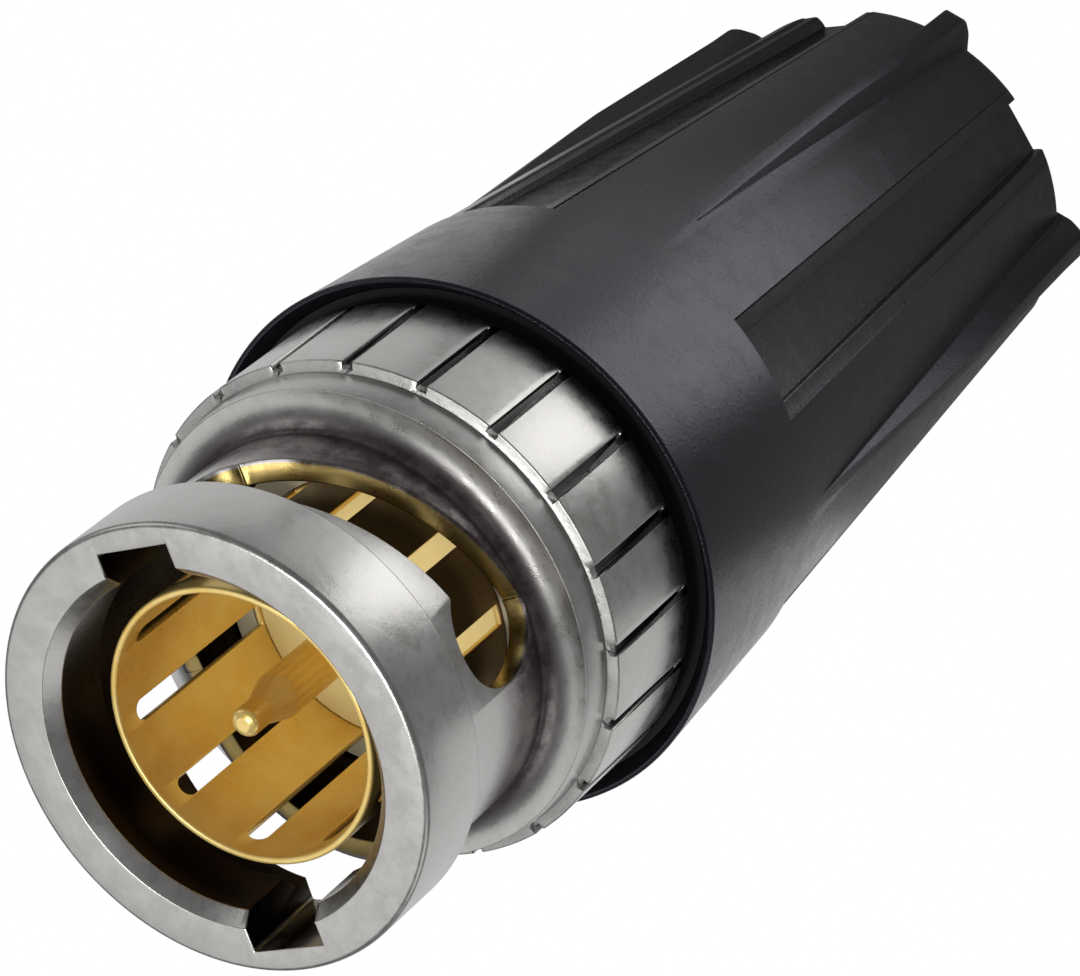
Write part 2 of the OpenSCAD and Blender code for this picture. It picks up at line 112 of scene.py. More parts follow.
def lathe(outline, turns=180):
    # spins a closed outline of (radius, height) round the plug's axis
    bm = bmesh.new()
    ring = [bm.verts.new((r * mm, 0, z * mm)) for r, z in outline]
    for a, b in zip(ring, ring[1:] + ring[:1]):
        if a.co.x > samePoint or b.co.x > samePoint:
            bm.edges.new((a, b))
    bmesh.ops.spin(bm, geom=bm.verts[:] + bm.edges[:], cent=(0, 0, 0), axis=(0, 0, 1),
                   angle=2 * math.pi, steps=turns, use_merge=True)
    bmesh.ops.remove_doubles(bm, verts=bm.verts, dist=samePoint)
    bmesh.ops.recalc_face_normals(bm, faces=bm.faces)
    return bm


def block(size, middle):
    # a box with straight sides
    bm = bmesh.new()
    bmesh.ops.create_cube(bm, size=1)
    bmesh.ops.scale(bm, vec=Vector(size) * mm, verts=bm.verts)
    bmesh.ops.translate(bm, vec=Vector(middle) * mm, verts=bm.verts)
    return bm


def turned(bm, bearing, axis="Z"):
    turn = Matrix.Rotation(math.radians(bearing), 3, axis)
    bmesh.ops.rotate(bm, cent=(0, 0, 0), matrix=turn, verts=bm.verts)
    return bm


def drill(radius, height, reach, sides):
    # a round bar that points outwards along X
    bm = bmesh.new()
    bmesh.ops.create_cone(bm, cap_ends=True, segments=sides, radius1=radius * mm, radius2=radius * mm,
                          depth=(reach[1] - reach[0]) * mm)
    turned(bm, 180 / sides)
    turned(bm, 90, "Y")
    bmesh.ops.translate(bm, vec=((reach[0] + reach[1]) / 2 * mm, 0, height * mm), verts=bm.verts)
    return bm


def together(parts):
    # several meshes become one
    whole = bmesh.new()
    for part in parts:
        held = bpy.data.meshes.new("held")
        part.to_mesh(held)
        part.free()
        whole.from_mesh(held)
        bpy.data.meshes.remove(held)
    return whole


def worked(piece, *tools):
    # cuts or joins one tool after the other with the piece, and clears the tools away
    for operation, bm in tools:
        helper = newObject("tool", bm)
        modifier = piece.modifiers.new(helper.name, "BOOLEAN")
        modifier.operation = operation
        modifier.solver = "MANIFOLD"
        modifier.object = helper
        bpy.context.view_layer.update()
        shaped = bpy.data.meshes.new_from_object(piece.evaluated_get(bpy.context.evaluated_depsgraph_get()))
        piece.modifiers.clear()
        old = piece.data
        piece.data = shaped
        bpy.data.meshes.remove(old)
        bpy.data.objects.remove(helper)


def softened(piece, width, sharpest=35, merge=0.004):
    # rounds the edges that a tool left sharp
    bm = bmesh.new()
    bm.from_mesh(piece.data)
    bmesh.ops.remove_doubles(bm, verts=bm.verts, dist=merge * mm)
    bmesh.ops.dissolve_degenerate(bm, edges=bm.edges, dist=merge * mm)
    sharp = [e for e in bm.edges if len(e.link_faces) == 2 and e.calc_face_angle() > math.radians(sharpest)]
    bmesh.ops.bevel(bm, geom=sharp, offset=width * mm, offset_type="OFFSET", affect="EDGES",
                    segments=2, profile=0.5, material=-1, clamp_overlap=False)
    bmesh.ops.dissolve_degenerate(bm, edges=bm.edges, dist=merge * mm / 4)
    bm.to_mesh(piece.data)
    bm.free()


def finished(piece, body, material, stoodFor):
    # smooth shading between creases, then the piece takes its place in the frame
    for face in piece.data.polygons:
        face.use_smooth = True
    piece.data.set_sharp_from_angle(angle=crease)
    piece.data.materials.clear()
    piece.data.materials.append(material)
    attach(piece, body)
    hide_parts(stoodFor)


class Wire:
    # a node socket that takes part in Python sums
    def __init__(self, nodes, socket):
        self.nodes = nodes
        self.socket = socket

    def sum(self, operation, first, second):
        return self.nodes.add("ShaderNodeMath", {"operation": operation}, {0: first, 1: second})

    def __add__(self, other):
        return self.sum("ADD", self, other)

    def __radd__(self, other):
        return self.sum("ADD", other, self)

    def __sub__(self, other):
        return self.sum("SUBTRACT", self, other)

    def __rsub__(self, other):
        return self.sum("SUBTRACT", other, self)

    def __mul__(self, other):
        return self.sum("MULTIPLY", self, other)

    def __rmul__(self, other):
        return self.sum("MULTIPLY", other, self)

    def larger(self, other):
        return self.sum("MAXIMUM", self, other)

    def beside(self, name):
        # another output of the same node
        return Wire(self.nodes, self.socket.node.outputs[name])


class Nodes:
    # one tree of nodes, which add fills
    def __init__(self, tree):
        self.tree = tree
        tree.nodes.clear()

    def add(self, kind, settings=None, sockets=None, out=0):
        node = self.tree.nodes.new(kind)
        for name, value in (settings or {}).items():
            setattr(node, name, value)
        for name, value in (sockets or {}).items():
            socket = node.inputs[name]
            if isinstance(value, Wire):
                self.tree.links.new(value.socket, socket)
            elif socket.type == "RGBA":
                socket.default_value = (*value, 1)
            else:
                socket.default_value = value
        return Wire(self, node.outputs[out]) if node.outputs else None


class Finish(Nodes):
    # a material whose patterns read Object coordinates
    def __init__(self, name):
        self.material = bpy.data.materials.new(name)
        self.material.use_nodes = True
        super().__init__(self.material.node_tree)
        self.place = self.add("ShaderNodeTexCoord", out="Object")

    def noise(self, perMm, detail, roughness):
        # perMm is the number of features along a millimetre
        return self.add("ShaderNodeTexNoise", sockets={
            "Vector": self.place, "Scale": perMm / mm, "Detail": detail, "Roughness": roughness})

    def band(self, value, low, high):
        # 0 below low, 1 above high, smooth between
        return self.add("ShaderNodeMapRange", {"interpolation_type": "SMOOTHSTEP"},
                        {"Value": value, "From Min": low, "From Max": high})

    def radius(self):
        # distance from the plug's axis, in metres
        flat = self.add("ShaderNodeVectorMath", {"operation": "MULTIPLY"}, {0: self.place, 1: (1, 1, 0)})
        return self.add("ShaderNodeVectorMath", {"operation": "LENGTH"}, {0: flat}, out="Value")

    def height(self):
        return self.add("ShaderNodeSeparateXYZ", sockets={"Vector": self.place}, out="Z")

    def outside(self, edge):
        # 1 beyond the second radius of the edge, 0 within the first
        return self.band(self.radius(), edge[0] * mm, edge[1] * mm)

    def below(self, top, edge):
        # 1 under the second depth of the edge, 0 over the first, both counted down from top
        return 1 - self.band(self.height(), (top - edge[1]) * mm, (top - edge[0]) * mm)

    def mix(self, mask, first, second):
        return self.add("ShaderNodeMix", {"data_type": "RGBA"}, {0: mask, 6: first, 7: second}, out=2)

    def bump(self, height, depth):
        # depth in mm for a height of 1
        return self.add("ShaderNodeBump", sockets={"Height": height, "Distance": depth * mm})

    def show(self, shader):
        self.add("ShaderNodeOutputMaterial", sockets={"Surface": shader})
        return self.material

    def surface(self, **sockets):
        named = {name.replace("_", " "): value for name, value in sockets.items()}
        return self.show(self.add("ShaderNodeBsdfPrincipled", sockets=named))


def plainFinish(name, shade, other, gloss, depth=0.004, **fixed):
    # one colour that drifts a little, with a fine grain
    f = Finish(name)
    drift = f.noise(2, 3, 0.6)
    grain = f.noise(16, 2, 0.5)
    return f.surface(Base_Color=f.mix(drift, shade, other), Roughness=drift * 0.1 + (gloss - 0.05),
                     Normal=f.bump(grain, depth), **fixed)


print("bayonet sleeve")
sleeve = {
    "mouthR": 5.25, "mouthDepth": 0.4, "boreR": 4.9, "trackBoreR": 5.28, "trackBoreFrom": 2.5,
    "trackBoreTo": 7.5, "trackBoreSlope": 0.3,
    "ringR": 6.5, "ringDepth": 2.7, "neckR": 5.95, "creaseDepth": 6.95,
    "lipR": 7.0, "lipDepth": 7.5, "lipEdge": 0.05, "bandR": 7.12, "bandDepth": 8.4, "bandGroove": 0.1,
    "bandEdge": 0.08, "gripR": 7.45, "gripDepth": 8.45, "gripLength": 4.0, "skirtR": 6.6, "skirtInR": 5.4,
    "shoulderR": 3.93, "shoulder": 1.1,
    "edge": 0.05, "mouthEdge": 0.06, "ringEdge": 0.16, "ringFootEdge": 0.14,
    "neckFillet": 0.15, "cutEdge": 0.035,
    "grooves": 20, "grooveTurn": 2, "grooveWidth": 0.3, "grooveDepth": 0.2, "grooveRim": 0.25,
    "slot": 2.3, "entryR": 5.8, "trackDepth": 3.9, "trackTurn": 87, "trackDrop": 1.95, "trackInset": 0.013,
    "detent": 3.2, "detentRise": 0.5, "cutFrom": 4.2, "barTo": 7.2, "holeTo": 7.4,
    "seamTurn": 0.7,  # keeps the lathe's own edges off the planes of the cutters
}


def sleeveOutline():
    s = sleeve
    gripFoot = s["gripDepth"] + s["gripLength"]
    washerFoot = boxFoot("rear_thrust_washer")
    skirtFoot = boxFoot("bayonet_sleeve")
    coveSteps = 8
    coveR = s["lipR"] - s["lipEdge"]
    down = [(s["boreR"], s["mouthDepth"]), (s["mouthR"], 0), (s["ringR"], 0), (s["ringR"], s["ringDepth"]),
            (s["neckR"], s["ringDepth"])]
    for k in range(coveSteps + 1):
        a = math.radians(90) * k / coveSteps
        down.append((coveR - (coveR - s["neckR"]) * math.cos(a),
                     s["creaseDepth"] + (s["lipDepth"] - s["creaseDepth"]) * math.sin(a)))
    down += [(s["lipR"], s["lipDepth"]), (s["bandR"], s["bandDepth"] - s["bandEdge"]),
             (s["bandR"] - s["bandGroove"], s["bandDepth"]), (s["gripR"], s["gripDepth"]),
             (s["gripR"], gripFoot), (s["skirtR"], gripFoot)]
    up = [(s["skirtR"], skirtFoot), (s["skirtInR"], skirtFoot), (s["skirtInR"], washerFoot - s["shoulder"]),
          (s["shoulderR"], washerFoot - s["shoulder"]), (s["shoulderR"], washerFoot),
          (s["boreR"], washerFoot), (s["boreR"], faceZ - s["trackBoreTo"] - s["trackBoreSlope"]),
          (s["trackBoreR"], faceZ - s["trackBoreTo"]), (s["trackBoreR"], faceZ - s["trackBoreFrom"]),
          (s["boreR"], faceZ - s["trackBoreFrom"] + s["trackBoreSlope"])]
    own = {i: 0 for i in range(6, 5 + coveSteps)}  # the cove is an arc already
    own.update({1: s["mouthEdge"], 2: s["ringEdge"], 3: s["ringFootEdge"], 4: s["neckFillet"]})
    return rounded([(r, faceZ - d) for r, d in down] + up, s["edge"], own)


def slotBar(start):
    # as tall as the slot, it runs down the helix and stops short of the middles of the round holes
    s = sleeve
    steps = 40
    slope = math.atan(s["trackDrop"] / (math.radians(s["trackTurn"]) * s["neckR"]))
    tall = s["slot"] / math.cos(slope) / 2
    section = ((s["cutFrom"], -tall), (s["barTo"], -tall), (s["barTo"], tall), (s["cutFrom"], tall))
    bar = bmesh.new()
    rows = []
    for k in range(steps + 1):
        share = s["trackInset"] + (1 - 2 * s["trackInset"]) * k / steps
        along = Matrix.Rotation(-math.radians(s["trackTurn"]) * share, 3, "Z")
        drop = s["trackDrop"] * share
        rows.append([bar.verts.new(along @ Vector((r * mm, 0, (start + z - drop) * mm))) for r, z in section])
    for near, far in zip(rows, rows[1:]):
        for k in range(4):
            bar.faces.new((near[k - 1], near[k], far[k], far[k - 1]))
    bar.faces.new(rows[0])
    bar.faces.new(rows[-1])
    bmesh.ops.recalc_face_normals(bar, faces=bar.faces)
    return bar


def trackCutters(half):
    s = sleeve
    start = faceZ - s["trackDepth"]
    reach = (s["cutFrom"], s["holeTo"])
    # the entry starts where the helix does and runs out past the face
    wide, spare = 3.0, 2.0
    entry = block((wide, s["slot"], s["trackDepth"] + spare),
                  (s["entryR"] - wide / 2, 0, start + s["trackDepth"] / 2 + spare / 2))
    firstHole = drill(s["slot"] / 2, start, reach, 48)
    detentHole = drill(s["detent"] / 2, start - s["trackDrop"] + s["detentRise"], reach, 64)
    turned(detentHole, -s["trackTurn"])
    return [("DIFFERENCE", turned(bm, half)) for bm in (entry, slotBar(start), firstHole, detentHole)]


def grooveCutter():
    s = sleeve
    wide, spare = 1.0, 0.5
    low, high = faceZ - s["gripDepth"] - s["gripLength"] + s["grooveRim"], faceZ - s["gripDepth"] + spare
    size = (wide, s["grooveWidth"], high - low)
    middle = (s["gripR"] - s["grooveDepth"] + wide / 2, 0, (low + high) / 2)
    bearings = [s["grooveTurn"] + i * 360 / s["grooves"] for i in range(s["grooves"])]
    return ("DIFFERENCE", together(turned(block(size, middle), bearing) for bearing in bearings))


def nickelFinish():
    # each pair is where an edge of a painted mark starts and ends, as radii or as depths under the face:
    # painted shade in the bore, the cove and the grooves, and a painted reflection of the gold in the window
    look = {"pale": (0.58, 0.575, 0.56), "deep": (0.47, 0.46, 0.445), "bore": (0.022, 0.014, 0.011),
            "window": (0.36, 0.27, 0.10), "cove": (0.105, 0.082, 0.084), "groove": (0.10, 0.095, 0.09),
            "gloss": 0.23, "blotchGloss": 0.07, "grainGloss": 0.08, "relief": 0.004,
            "wallR": (5.80, 5.86), "coneEdge": (0.02, 0.08), "faceEdge": (0.02, 0.06),
            "coneFoot": (0.40, 0.44),
            "windowR": (5.28, 5.36), "windowFrom": (4.6, 4.9),
            "coveR": (6.7, 6.95), "coveFrom": (4.4, 6.1), "coveTo": (7.2, 7.5), "coveLeast": 0.75,
            "grooveR": (7.28, 7.40), "grooveFrom": (8.6, 8.7), "grooveTo": (12.3, 12.4)}
    f = Finish("satinNickel")
    blotch = f.band(f.noise(1.6, 5, 0.68), 0.36, 0.64)
    grain = f.noise(16, 3, 0.6)
    # painted shade: the bore and its notches are dark up to the pale chamfer at the mouth
    slope = (sleeve["mouthR"] - sleeve["boreR"]) / sleeve["mouthDepth"]
    overFoot = (f.height() - (faceZ - sleeve["mouthDepth"]) * mm).larger(0.0)
    offCone = f.band(f.radius() - overFoot * slope, (sleeve["boreR"] + look["coneEdge"][0]) * mm,
                     (sleeve["boreR"] + look["coneEdge"][1]) * mm)
    paintedBoreShade = f.below(faceZ, look["coneFoot"]).larger(offCone * f.below(faceZ, look["faceEdge"]))
    paintedBoreShade = paintedBoreShade * (1 - f.outside(look["wallR"]))
    # painted reflection: the wall behind the window takes an olive gold, the gold contact mirrored in it
    windowGoldReflection = f.outside(look["windowR"]) * f.below(faceZ, look["windowFrom"])
    # painted shade lies in the cove behind the neck and in the grip's grooves
    paintedCoveShade = f.below(faceZ, look["coveFrom"]) * (1 - f.below(faceZ, look["coveTo"]))
    paintedCoveShade = paintedCoveShade * (1 - f.outside(look["coveR"]))
    paintedGrooveShade = f.below(faceZ, look["grooveFrom"]) * (1 - f.below(faceZ, look["grooveTo"]))
    paintedGrooveShade = paintedGrooveShade * (1 - f.outside(look["grooveR"]))
    skin = f.mix(blotch * 0.6 + grain * 0.4, look["deep"], look["pale"])
    skin = f.mix(paintedCoveShade * (look["coveLeast"] + blotch * (1 - look["coveLeast"])), skin, look["cove"])
    skin = f.mix(paintedGrooveShade, skin, look["groove"])
    skin = f.mix(paintedBoreShade, skin, f.mix(windowGoldReflection, look["bore"], look["window"]))
    rough = blotch * look["blotchGloss"] + grain * look["grainGloss"] + look["gloss"]
    return f.surface(Metallic=1.0, Base_Color=skin, Roughness=rough,
                     Normal=f.bump(grain * 0.5 + blotch * 0.5, look["relief"]))


nickel = nickelFinish()
sleevePiece = newObject("sleeve_shell", turned(lathe(sleeveOutline()), sleeve["seamTurn"]))
worked(sleevePiece, *trackCutters(0), *trackCutters(180), grooveCutter())
softened(sleevePiece, sleeve["cutEdge"])
finished(sleevePiece, "coupling", nickel, "bayonet_sleeve")

print("outer contact")
contact = {"outR": 4.05, "inR": 3.85, "edge": 0.02, "rimEdge": 0.07, "rim": 0.75, "root": 0.1,
           "slots": 10, "slotWidth": 0.6, "slotTurn": 11, "endReach": (3.2, 4.7)}


def goldFinish(name, metallic, gloss):
    look = {"pale": (1.0, 0.78, 0.30), "deep": (0.94, 0.65, 0.19), "back": (0.30, 0.18, 0.06),
            "backR": (3.97, 4.03), "backFrom": (0.3, 0.8)}
    f = Finish(name)
    drift = f.band(f.noise(0.8, 3, 0.55), 0.3, 0.7)
    # painted shade: the fingers' backs are darker, away from the bright rim
    paintedBackShade = f.outside(look["backR"]) * f.below(boxTop("outer_contact"), look["backFrom"])
    shade = f.mix(paintedBackShade, f.mix(drift, look["deep"], look["pale"]), look["back"])
    return f.surface(Metallic=metallic, Base_Color=shade, Roughness=drift * 0.06 + (gloss - 0.03))


def contactPiece():
    c = contact
    top, foot = boxTop("outer_contact"), boxFoot("outer_contact")
    outline = rounded([(c["inR"], foot), (c["outR"], foot), (c["outR"], top), (c["inR"], top)], c["edge"],
                      {2: c["rimEdge"], 3: c["rimEdge"]})
    piece = newObject("contact_fingers", lathe(outline, 200))
    low, high = boxTop("front_insulator") + c["root"], top - c["rim"] - c["slotWidth"] / 2
    wide = 1.4
    for i in range(c["slots"]):
        bearing = c["slotTurn"] + i * 360 / c["slots"]
        bar = block((wide, c["slotWidth"], high - low), ((c["inR"] + c["outR"]) / 2, 0, (low + high) / 2))
        roundEnd = drill(c["slotWidth"] / 2, high, c["endReach"], 24)
        worked(piece, ("DIFFERENCE", turned(bar, bearing)), ("DIFFERENCE", turned(roundEnd, bearing)))
    softened(piece, c["edge"])
    finished(piece, "core", goldFinish("plateGold", 0.5, 0.30), "outer_contact")


contactPiece()

print("centre pin")
pin = {"r": 0.675, "waistR": 0.5, "tipR": 0.42, "noseR": 0.2,
       "taperFrom": 1.7, "taperTo": 0.85, "noseFrom": 0.1, "rootSlope": 0.2,
       "collarR": 1.25, "collarHalf": 0.4, "potR": 1.0, "potBoreR": 0.55, "potDepth": 3.6,
       "edge": 0.04, "own": {0: 0, 10: 0.6, 11: 0.4, 12: 0.25, 13: 0.05, 14: 0}}


def pinPiece():
    p = pin
    top, foot = boxTop("centre_pin"), boxFoot("centre_pin")
    collar, root = boxFoot("front_insulator"), boxTop("front_insulator")
    outline = rounded([
        (0, foot + p["potDepth"]), (p["potBoreR"], foot + p["potDepth"]), (p["potBoreR"], foot),
        (p["potR"], foot), (p["potR"], collar - p["collarHalf"]), (p["collarR"], collar - p["collarHalf"]),
        (p["collarR"], collar + p["collarHalf"]), (p["waistR"], collar + p["collarHalf"]),
        (p["waistR"], root), (p["r"], root + p["rootSlope"]), (p["r"], top - p["taperFrom"]),
        (p["tipR"], top - p["taperTo"]), (p["tipR"], top - p["noseFrom"]), (p["noseR"], top), (0, top)],
        p["edge"], p["own"], 6)
    piece = newObject("contact_pin", lathe(outline, 96))
    finished(piece, "core", goldFinish("pinGold", 0.6, 0.30), "centre_pin")


pinPiece()

print("boot")
boot = {
    "frontR": 8.12, "collarR": 7.68, "collarLength": 6.55, "step": 0.06, "stepEase": 0.01, "tailR": 6.15,
    "mouthR": 7.65, "lipInR": 7.97, "lipDepth": 0.5, "lipEdge": 0.09, "seamEdge": 0.03, "edge": 0.04,
    "tailEdge": 0.75, "holeEdge": 0.3, "skirtR": 6.62, "lockR": 6.98, "cavityR": 5.6, "bushR": 5.02,
    "ledgeR": 4.68, "ledgeSlope": 0.5, "grommetR": 4.42, "holeR": 3.6, "endWall": 1.2, "room": 0.02,
    "ribs": 5, "ribTurn": 29.7, "ribR": 7.5, "ribTailR": 7.1, "ribFoot": 0.95, "ribCrest": 0.2,
    "ribSink": 1.0, "ribLift": 0.1, "ribNose": (0.3, 0.45), "ribHeel": 1.8, "ribPeak": 0.42, "ribEase": 0.02,
    "ribBends": {1: 0.4, 2: 0.8, 3: 3.0, 4: 6.0},
    "flatHalf": 12, "flatDip": (0.03, 0.06), "panelHalf": 8.5, "panelDip": (0.2, 0.5), "cutEdge": 0.05,
}
bootBack = bootTop - boot["collarLength"]  # height of the step behind the collar


def bootOutline():
    b = boot
    seal = boxFoot("seal_ring") - b["room"]
    lockTop, lockFoot = boxTop("lock_ring") + b["room"], boxFoot("lock_ring") - b["room"]
    skirtFoot = boxFoot("bayonet_sleeve") - b["room"]
    bushTop, bushFoot = boxTop("guide_bush"), boxFoot("guide_bush") - b["room"]
    grommetTop = boxTop("cable_grommet") + b["room"]
    points = [
        (b["lipInR"], bootTop), (b["frontR"], bootTop), (b["collarR"] + b["stepEase"], bootBack + b["step"]),
        (b["collarR"] - b["step"], bootBack), (b["tailR"], 0), (b["holeR"], 0), (b["holeR"], b["endWall"]),
        (b["grommetR"], b["endWall"]), (b["grommetR"], grommetTop),
        (b["ledgeR"], grommetTop + b["ledgeSlope"]), (b["ledgeR"], bushFoot),
        (b["bushR"], bushFoot), (b["bushR"], bushTop),
        (b["cavityR"], bushTop + b["ledgeSlope"]), (b["cavityR"], skirtFoot), (b["skirtR"], skirtFoot),
        (b["skirtR"], lockFoot), (b["lockR"], lockFoot), (b["lockR"], lockTop), (b["skirtR"], lockTop),
        (b["skirtR"], seal), (b["mouthR"], seal), (b["mouthR"], bootTop - b["lipDepth"])]
    own = {0: b["seamEdge"], 1: b["lipEdge"], 2: b["seamEdge"], 3: b["seamEdge"], 4: b["tailEdge"]}
    own[5] = b["holeEdge"]
    return rounded(points, b["edge"], own)


def bootRib():
    # a blade with a rounded nose at the cable end, wide at the foot and narrow at the crest
    b = boot
    footR = b["tailR"] - b["ribSink"]
    side = rounded([(footR, b["ribLift"]), (b["tailR"] + b["ribNose"][0], b["ribLift"]),
                    (b["ribTailR"], b["ribNose"][1]), (b["ribTailR"] + b["ribEase"], b["ribHeel"]),
                    (b["ribR"] - b["ribEase"], b["ribPeak"] * bootBack), (b["ribR"], bootBack),
                    (footR, bootBack)], 0, b["ribBends"], 6)
    bm = bmesh.new()
    face = bm.faces.new([bm.verts.new((r * mm, -0.5 * mm, z * mm)) for r, z in side])
    made = bmesh.ops.extrude_face_region(bm, geom=[face])["geom"]
    bmesh.ops.translate(bm, vec=(0, mm, 0), verts=[g for g in made if isinstance(g, bmesh.types.BMVert)])
    for v in bm.verts:
        up = (v.co.x / mm - footR) / (b["ribR"] - footR)
        v.co.y *= 2 * (b["ribFoot"] + (b["ribCrest"] - b["ribFoot"]) * up)
    bmesh.ops.recalc_face_normals(bm, faces=bm.faces)
    return bm


def bootFlat(half, dip):
    # a wedge whose inner plane lies that far under the tail's cone, at the collar and at the end
    b = boot
    slack = math.cos(math.radians(b["flatHalf"]))
    frontR = (b["collarR"] - b["step"]) * slack - dip[0]
    tailR = b["tailR"] * slack - dip[1]
    far = b["frontR"] + 1
    bm = bmesh.new()
    bmesh.ops.create_cube(bm, size=2)
    for v in bm.verts:
        z = bootBack if v.co.z > 0 else -1.0
        x = far if v.co.x > 0 else tailR + (frontR - tailR) * z / bootBack
        v.co = Vector((x, math.copysign(x * math.tan(math.radians(half)), v.co.y), z)) * mm
    return bm


def bootFinish():
    # each pair is where an edge starts and ends, as radii or as depths under the boot's mouth
    look = {"tail": (0.0045, 0.0042, 0.0060), "collar": (0.0042, 0.0044, 0.0085),
            "recess": (0.001, 0.001, 0.001), "tint": (0.62, 0.61, 0.74),
            "gloss": 0.15, "mottleGloss": 0.10, "grainGloss": 0.12, "recessGloss": 0.4,
            "relief": 0.013, "collarTo": (6.5, 6.6), "recessR": (7.93, 7.99), "recessTo": (1.4, 1.5)}
    f = Finish("mouldedBlack")
    onCollar = 1 - f.below(bootTop, look["collarTo"])
    # painted shade: the boot's mouth wall down in the recess is blacker than the rest
    paintedRecessShade = (1 - f.outside(look["recessR"])) * (1 - f.below(bootTop, look["recessTo"]))
    mottle = f.band(f.noise(1.3, 5, 0.68), 0.35, 0.7)
    grain = f.noise(11, 3, 0.7)
    speckle = f.noise(5.5, 4, 0.75)
    shade = f.mix(paintedRecessShade, f.mix(onCollar, look["tail"], look["collar"]), look["recess"])
    rough = mottle * look["mottleGloss"] + grain * look["grainGloss"] + look["gloss"]
    return f.surface(IOR=1.58, Specular_Tint=look["tint"], Base_Color=shade,
                     Roughness=rough + paintedRecessShade * look["recessGloss"],
                     Normal=f.bump(grain * 0.5 + speckle * 0.5, look["relief"]))


def bootPiece():
    b = boot
    piece = newObject("boot_shell", lathe(bootOutline()))
    pitch = 360 / b["ribs"]
    for i in range(b["ribs"]):
        worked(piece, ("UNION", turned(bootRib(), b["ribTurn"] + i * pitch)))
    for i in range(b["ribs"]):
        bearing = b["ribTurn"] + (i + 0.5) * pitch
        worked(piece, ("DIFFERENCE", turned(bootFlat(b["flatHalf"], b["flatDip"]), bearing)),
               ("DIFFERENCE", turned(bootFlat(b["panelHalf"], b["panelDip"]), bearing)))
    softened(piece, b["cutEdge"], sharpest=20)
    finished(piece, "coupling", bootFinish(), "boot")


bootPiece()

print("wave spring")
spring = {"strips": 3, "waves": 3, "thick": 0.2, "nest": 0.02, "inR": 4.01, "travel": 0.8, "slack": 0.02}
steel = plainFinish("springSteel", (0.50, 0.50, 0.51), (0.62, 0.62, 0.62), 0.3, Metallic=1.0)


def springPiece():
    # waved strips, crest on crest; the real strips flatten as the sleeve is pulled, these keep their shape
    s = spring
    foot, top = boxFoot("wave_spring"), boxTop("wave_spring")
    outR = boxRadius("wave_spring")
    tall = top - foot
    swing = (tall - s["strips"] * s["thick"] + (s["strips"] - 1) * s["nest"]) / (2 * s["strips"])
    strips = []
    for i in range(s["strips"]):
        low = foot + swing + i * (2 * swing + s["thick"] - s["nest"])
        high = low + s["thick"]
        strip = lathe([(s["inR"], low), (outR, low), (outR, high), (s["inR"], high)], 96)
        for v in strip.verts:
            v.co.z += swing * mm * math.cos(s["waves"] * math.atan2(v.co.y, v.co.x) + i * math.pi)
        strips.append(strip)
    piece = newObject("spring_strips", together(strips))
    finished(piece, "coupling", steel, "wave_spring")
    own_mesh(piece)


springPiece()

print("small pieces")  # the plainer solids keep their own shape and get their finish
cream = plainFinish("creamInsulator", (0.90, 0.75, 0.32), (0.95, 0.83, 0.42), 0.35, IOR=1.38)
gasketBuff = plainFinish("buffGasket", (0.60, 0.52, 0.34), (0.68, 0.60, 0.42), 0.5)
white = plainFinish("whiteBush", (0.78, 0.77, 0.72), (0.84, 0.83, 0.79), 0.4)
rubber = plainFinish("blackRubber", (0.004, 0.004, 0.004), (0.008, 0.008, 0.008), 0.75, depth=0.01)
finishes = {
    "seal_ring": rubber, "lock_ring": steel, "guide_bush": white, "cable_grommet": rubber,
    "rear_thrust_washer": steel, "front_thrust_washer": steel, "contact_body": nickel,
    "face_gasket": gasketBuff, "front_insulator": cream, "rear_insulator": cream, "retaining_ring": steel,
    "crimp_stem": nickel, "crimp_ferrule": nickel,
}
for name, material in finishes.items():
    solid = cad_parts[name]
    solid.data.materials.clear()
    solid.data.materials.append(material)

print("floor, light and camera")
shot = {"bearing": -65.3, "elevation": 45.84, "distance": 130.12, "aimBearing": 114.857, "aimDip": 50.539,
        "roll": -129.996, "lens": 166.67, "sensor": 36.0, "mouthDrop": 0.4}
studio = {
    "floorSize": 4.0, "floorShade": 0.2, "world": 0.18, "mirrored": 0.11,
    "aimZ": 24.0, "glowZ": 0.4,
    # bearing from the camera, elevation, distance, width, height, power
    "boxes": {"faceBox": (180, 50, 0.34, 0.30, 0.26, 0.165), "topBox": (180, 87, 0.36, 0.14, 0.14, 0.60),
              "camBox": (0, 50, 0.40, 0.07, 0.07, 0.015), "leftBox": (100, 22, 0.34, 0.20, 0.20, 0.10),
              "rightBox": (-100, 22, 0.34, 0.20, 0.20, 0.10)},
    # bearing from the camera, near and far end, width, radiance
    "glows": {"frontGlow": (8, 12, 62, 20, 1.7), "frontFill": (38, 14, 60, 22, 0.45),
              "leftGlow": (130, 14, 90, 90, 0.50), "rightGlow": (-130, 14, 90, 90, 0.55)},
}


def floorPiece():
    # white to the camera, dimmer in a mirror, and grey to the lamps
    bm = bmesh.new()
    bmesh.ops.create_grid(bm, x_segments=1, y_segments=1, size=studio["floorSize"])
    floor = newObject("studio_floor", bm)
    f = Finish("paleFloor")
    shade = (studio["floorShade"],) * 3
    paint = f.add("ShaderNodeBsdfPrincipled", sockets={"Base Color": shade, "Roughness": 0.9})
    path = f.add("ShaderNodeLightPath", out="Is Camera Ray")
    bounced = path.beside("Is Glossy Ray").larger(path.beside("Is Transmission Ray"))
    floor.data.materials.append(f.show(f.add("ShaderNodeMixShader", sockets={
        0: path.larger(bounced * studio["mirrored"]), 1: paint, 2: f.add("ShaderNodeEmission")})))


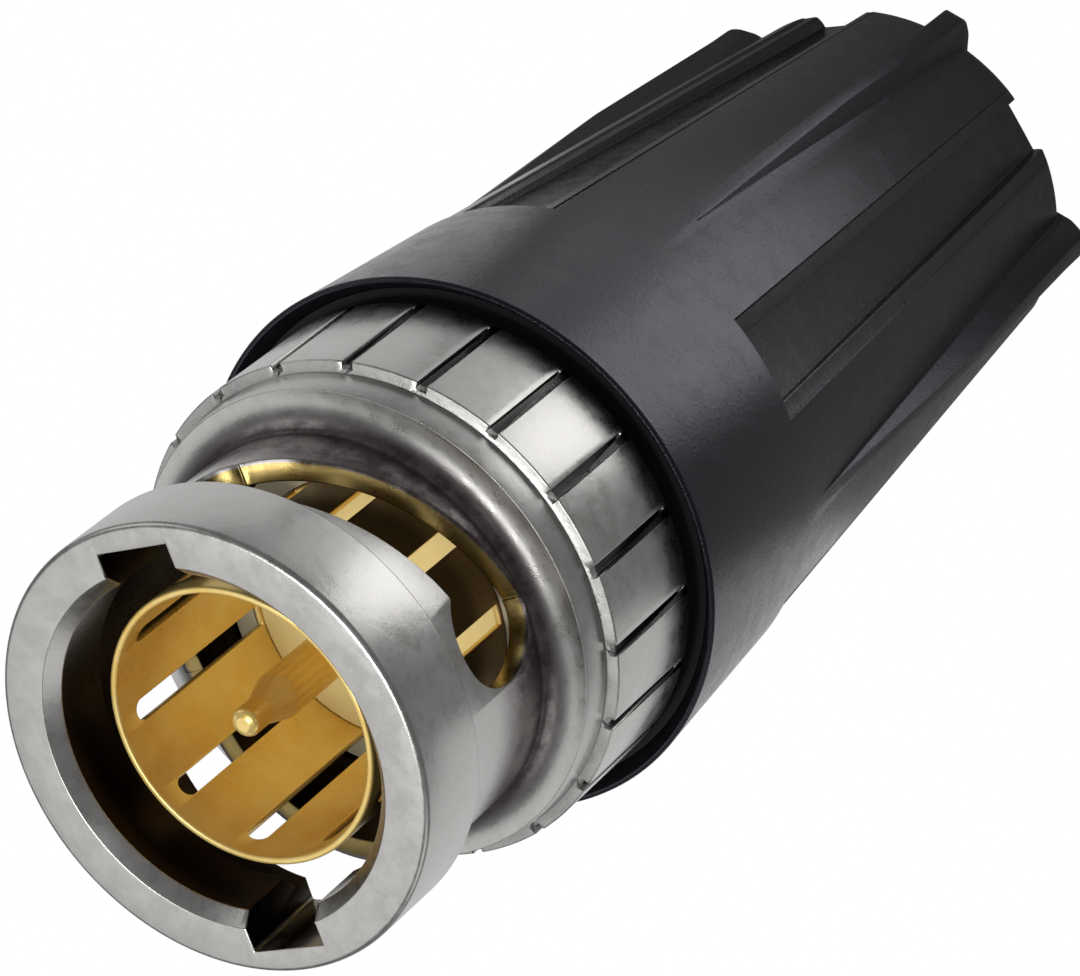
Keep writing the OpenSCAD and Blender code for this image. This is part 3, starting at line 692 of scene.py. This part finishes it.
def worldLight():
    scene.world = bpy.data.worlds.new("studioAir")
    scene.world.use_nodes = True
    air = Nodes(scene.world.node_tree)
    strength = air.add("ShaderNodeLightPath", out="Is Camera Ray").larger(studio["world"])
    light = air.add("ShaderNodeBackground", sockets={"Color": (1, 1, 1), "Strength": strength})
    air.add("ShaderNodeOutputWorld", sockets={"Surface": light})


def areaLamp(name, width, height, power):
    lamp = bpy.data.lights.new(name, "AREA")
    lamp.shape = "RECTANGLE"
    lamp.size, lamp.size_y = width, height
    lamp.energy = power
    holder = bpy.data.objects.new(name, lamp)
    scene.collection.objects.link(holder)
    return holder


def outward(bearing, elevation=0.0):
    b, e = math.radians(bearing), math.radians(elevation)
    return Vector((math.cos(b) * math.cos(e), math.sin(b) * math.cos(e), math.sin(e)))


def softBox(name, turn, elevation, distance, width, height, power):
    # a soft box in the air that faces the plug
    holder = areaLamp(name, width, height, power)
    away = outward(shot["bearing"] + turn, elevation)
    holder.location = Vector((0, 0, studio["aimZ"] * mm)) + away * distance
    holder.rotation_mode = "QUATERNION"
    holder.rotation_quaternion = (-away).to_track_quat("-Z", "Y")


def floorGlow(name, turn, near, far, width, radiance):
    # a low box that faces upwards beside the plug, where the upright sides mirror it
    area = (far - near) * width * mm * mm
    holder = areaLamp(name, (far - near) * mm, width * mm, radiance * math.pi * area)
    bearing = shot["bearing"] + turn
    middle = outward(bearing) * (near + far) / 2 * mm + Vector((0, 0, studio["glowZ"] * mm))
    holder.matrix_world = (Matrix.Translation(middle) @ Matrix.Rotation(math.radians(bearing), 4, "Z")
                           @ Matrix.Rotation(math.pi, 4, "X"))
    holder.visible_camera = False


def shotCamera():
    data = bpy.data.cameras.new("shotCamera")
    data.sensor_width = shot["sensor"]
    data.lens = shot["lens"]
    data.clip_start = 0.005
    data.clip_end = 10
    holder = bpy.data.objects.new("shotCamera", data)
    scene.collection.objects.link(holder)
    mouth = Vector((0, 0, (faceZ - shot["mouthDrop"]) * mm))
    away = outward(shot["bearing"], shot["elevation"]) * shot["distance"] * mm
    heading = Matrix.Rotation(math.radians(shot["aimBearing"] - 90), 4, "Z")
    dip = Matrix.Rotation(math.radians(90 - shot["aimDip"]), 4, "X")
    roll = Matrix.Rotation(math.radians(shot["roll"]), 4, "Z")
    holder.matrix_world = Matrix.Translation(mouth + away) @ heading @ dip @ roll
    scene.camera = holder


floorPiece()
worldLight()
for name, values in studio["boxes"].items():
    softBox(name, *values)
for name, values in studio["glows"].items():
    floorGlow(name, *values)
shotCamera()
scene.view_settings.view_transform = "Standard"

print("done")
